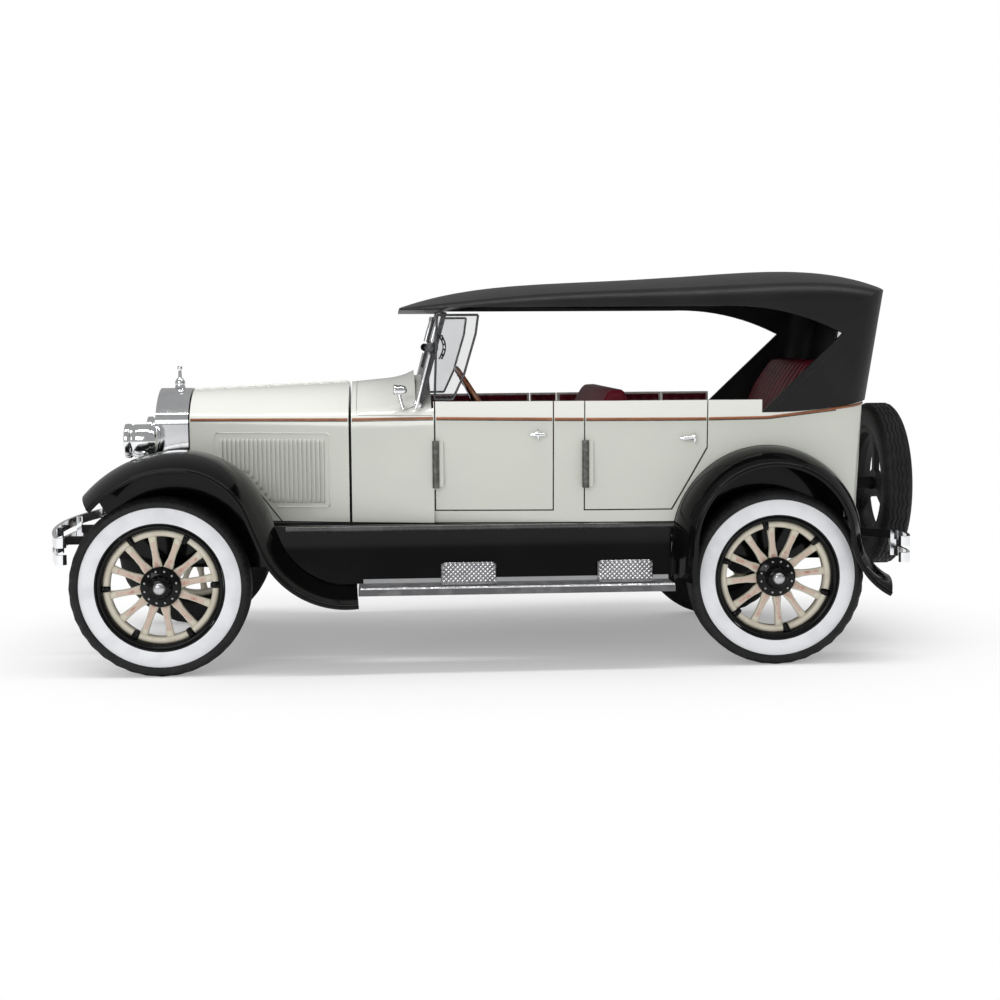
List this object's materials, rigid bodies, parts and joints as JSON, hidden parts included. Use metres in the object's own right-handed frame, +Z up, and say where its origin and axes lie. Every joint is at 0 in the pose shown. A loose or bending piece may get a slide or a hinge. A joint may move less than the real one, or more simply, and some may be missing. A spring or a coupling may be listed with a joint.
{
  "type": "die-cast scale model of a 1920s touring car",
  "caption": "Die-cast scale model of an open 1920s touring car with its top up, opening doors and bonnet, steering and rolling wheels.",
  "frame": {"origin": "on the floor under the middle of the model's bounding box", "axes": "+X forward, +Y to the car's left, +Z up"},
  "size_m": [0.2374, 0.095, 0.1052],
  "materials": {
    "chassis_plastic": "satin black moulded plastic",
    "body_paint": "gloss pale greenish-cream enamel",
    "black_paint": "gloss black enamel",
    "board_plastic": "ribbed black mat with a bright edge",
    "bright_trim": "vacuum-plated chrome",
    "core_black": "dark plastic",
    "clear_plastic": "clear moulded plastic",
    "interior_burgundy": "satin burgundy moulding",
    "top_black": "matt charcoal moulding",
    "steering_brown": "wood-brown gloss",
    "wheel_cream": "cream gloss with brown wash",
    "tyre_black": "soft black rubber"
  },
  "bodies": {
    "root": {"chassis_frame": "chassis_plastic", "leaf_springs": "chassis_plastic", "front_axle": "chassis_plastic", "rear_axle": "chassis_plastic", "engine_block": "chassis_plastic", "floor_pan": "chassis_plastic", "body_shell": "body_paint", "bonnet_rod": "bright_trim", "radiator_shell": "bright_trim", "radiator_core": "core_black", "radiator_cap": "bright_trim", "headlamps": "bright_trim", "headlamp_lenses": "clear_plastic", "cowl_lamps": "bright_trim", "front_fender_left": "black_paint", "front_fender_right": "black_paint", "rear_fender_left": "black_paint", "rear_fender_right": "black_paint", "splash_apron_left": "black_paint", "splash_apron_right": "black_paint", "running_board_left": "board_plastic", "running_board_right": "board_plastic", "step_plates": "bright_trim", "front_bumper": "bright_trim", "rear_bumpers": "bright_trim", "bumper_irons": "chassis_plastic", "spare_tyre": "tyre_black", "spare_rim": "black_paint", "spare_carrier": "chassis_plastic", "front_seat": "interior_burgundy", "rear_seat": "interior_burgundy", "dashboard": "core_black", "steering_column": "core_black", "windscreen_frame": "core_black", "windscreen_panes": "clear_plastic", "screen_stanchions": "bright_trim", "wind_wings": "clear_plastic", "moulded_top": "top_black", "rear_window": "clear_plastic"},
    "front_door_left": {"front_door_left": "body_paint", "front_door_handle_left": "bright_trim"},
    "rear_door_left": {"rear_door_left": "body_paint", "rear_door_handle_left": "bright_trim"},
    "bonnet_left": {"bonnet_left": "body_paint"},
    "knuckle_left": {"knuckle_left": "chassis_plastic"},
    "front_wheel_left": {"front_wheel_left": "wheel_cream", "front_tyre_left": "tyre_black"},
    "rear_wheel_left": {"rear_wheel_left": "wheel_cream", "rear_tyre_left": "tyre_black"},
    "front_door_right": {"front_door_right": "body_paint", "front_door_handle_right": "bright_trim"},
    "rear_door_right": {"rear_door_right": "body_paint", "rear_door_handle_right": "bright_trim"},
    "bonnet_right": {"bonnet_right": "body_paint"},
    "knuckle_right": {"knuckle_right": "chassis_plastic"},
    "front_wheel_right": {"front_wheel_right": "wheel_cream", "front_tyre_right": "tyre_black"},
    "rear_wheel_right": {"rear_wheel_right": "wheel_cream", "rear_tyre_right": "tyre_black"},
    "steering_wheel": {"steering_wheel": "steering_brown"}
  },
  "joints": [
    {"name": "front_door_left_hinge", "type": "hinge", "parent": "root", "child": "front_door_left", "pos_m": [0.01425, 0.03246, 0.0537], "axis": [0, 0, -1], "range_deg": [0, 65]},
    {"name": "rear_door_left_hinge", "type": "hinge", "parent": "root", "child": "rear_door_left", "pos_m": [-0.02525, 0.03631, 0.0537], "axis": [0, 0, -1], "range_deg": [0, 65]},
    {"name": "bonnet_left_hinge", "type": "hinge", "parent": "root", "child": "bonnet_left", "pos_m": [0.05895, 0, 0.07395], "axis": [0.9991, 0, -0.0431], "range_deg": [0, 60]},
    {"name": "steer_left", "type": "hinge", "parent": "root", "child": "knuckle_left", "pos_m": [0.08595, 0.0329, 0.0233], "axis": [0, 0, 1], "range_deg": [-20, 20]},
    {"name": "front_wheel_left_spin", "type": "hinge", "parent": "knuckle_left", "child": "front_wheel_left", "pos_m": [0.08595, 0.0395, 0.0233], "axis": [0, 1, 0], "continuous": true},
    {"name": "rear_wheel_left_spin", "type": "hinge", "parent": "root", "child": "rear_wheel_left", "pos_m": [-0.07555, 0.0395, 0.0233], "axis": [0, 1, 0], "continuous": true},
    {"name": "front_door_right_hinge", "type": "hinge", "parent": "root", "child": "front_door_right", "pos_m": [0.01425, -0.03246, 0.0537], "axis": [0, 0, 1], "range_deg": [0, 65]},
    {"name": "rear_door_right_hinge", "type": "hinge", "parent": "root", "child": "rear_door_right", "pos_m": [-0.02525, -0.03631, 0.0537], "axis": [0, 0, 1], "range_deg": [0, 65]},
    {"name": "bonnet_right_hinge", "type": "hinge", "parent": "root", "child": "bonnet_right", "pos_m": [0.05895, 0, 0.07395], "axis": [-0.9991, 0, 0.0431], "range_deg": [0, 60]},
    {"name": "steer_right", "type": "hinge", "parent": "root", "child": "knuckle_right", "pos_m": [0.08595, -0.0329, 0.0233], "axis": [0, 0, 1], "range_deg": [-20, 20]},
    {"name": "front_wheel_right_spin", "type": "hinge", "parent": "knuckle_right", "child": "front_wheel_right", "pos_m": [0.08595, -0.0395, 0.0233], "axis": [0, 1, 0], "continuous": true},
    {"name": "rear_wheel_right_spin", "type": "hinge", "parent": "root", "child": "rear_wheel_right", "pos_m": [-0.07555, -0.0395, 0.0233], "axis": [0, 1, 0], "continuous": true},
    {"name": "steering_wheel_turn", "type": "hinge", "parent": "root", "child": "steering_wheel", "pos_m": [0.00145, 0.015, 0.0685], "axis": [-0.848, 0, 0.5299], "range_deg": [-60, 60]}
  ],
  "couplings": [
    {"joint": "steer_right", "follows": "steer_left", "ratio": 1},
    {"joint": "steering_wheel_turn", "follows": "steer_left", "ratio": 3}
  ]
}
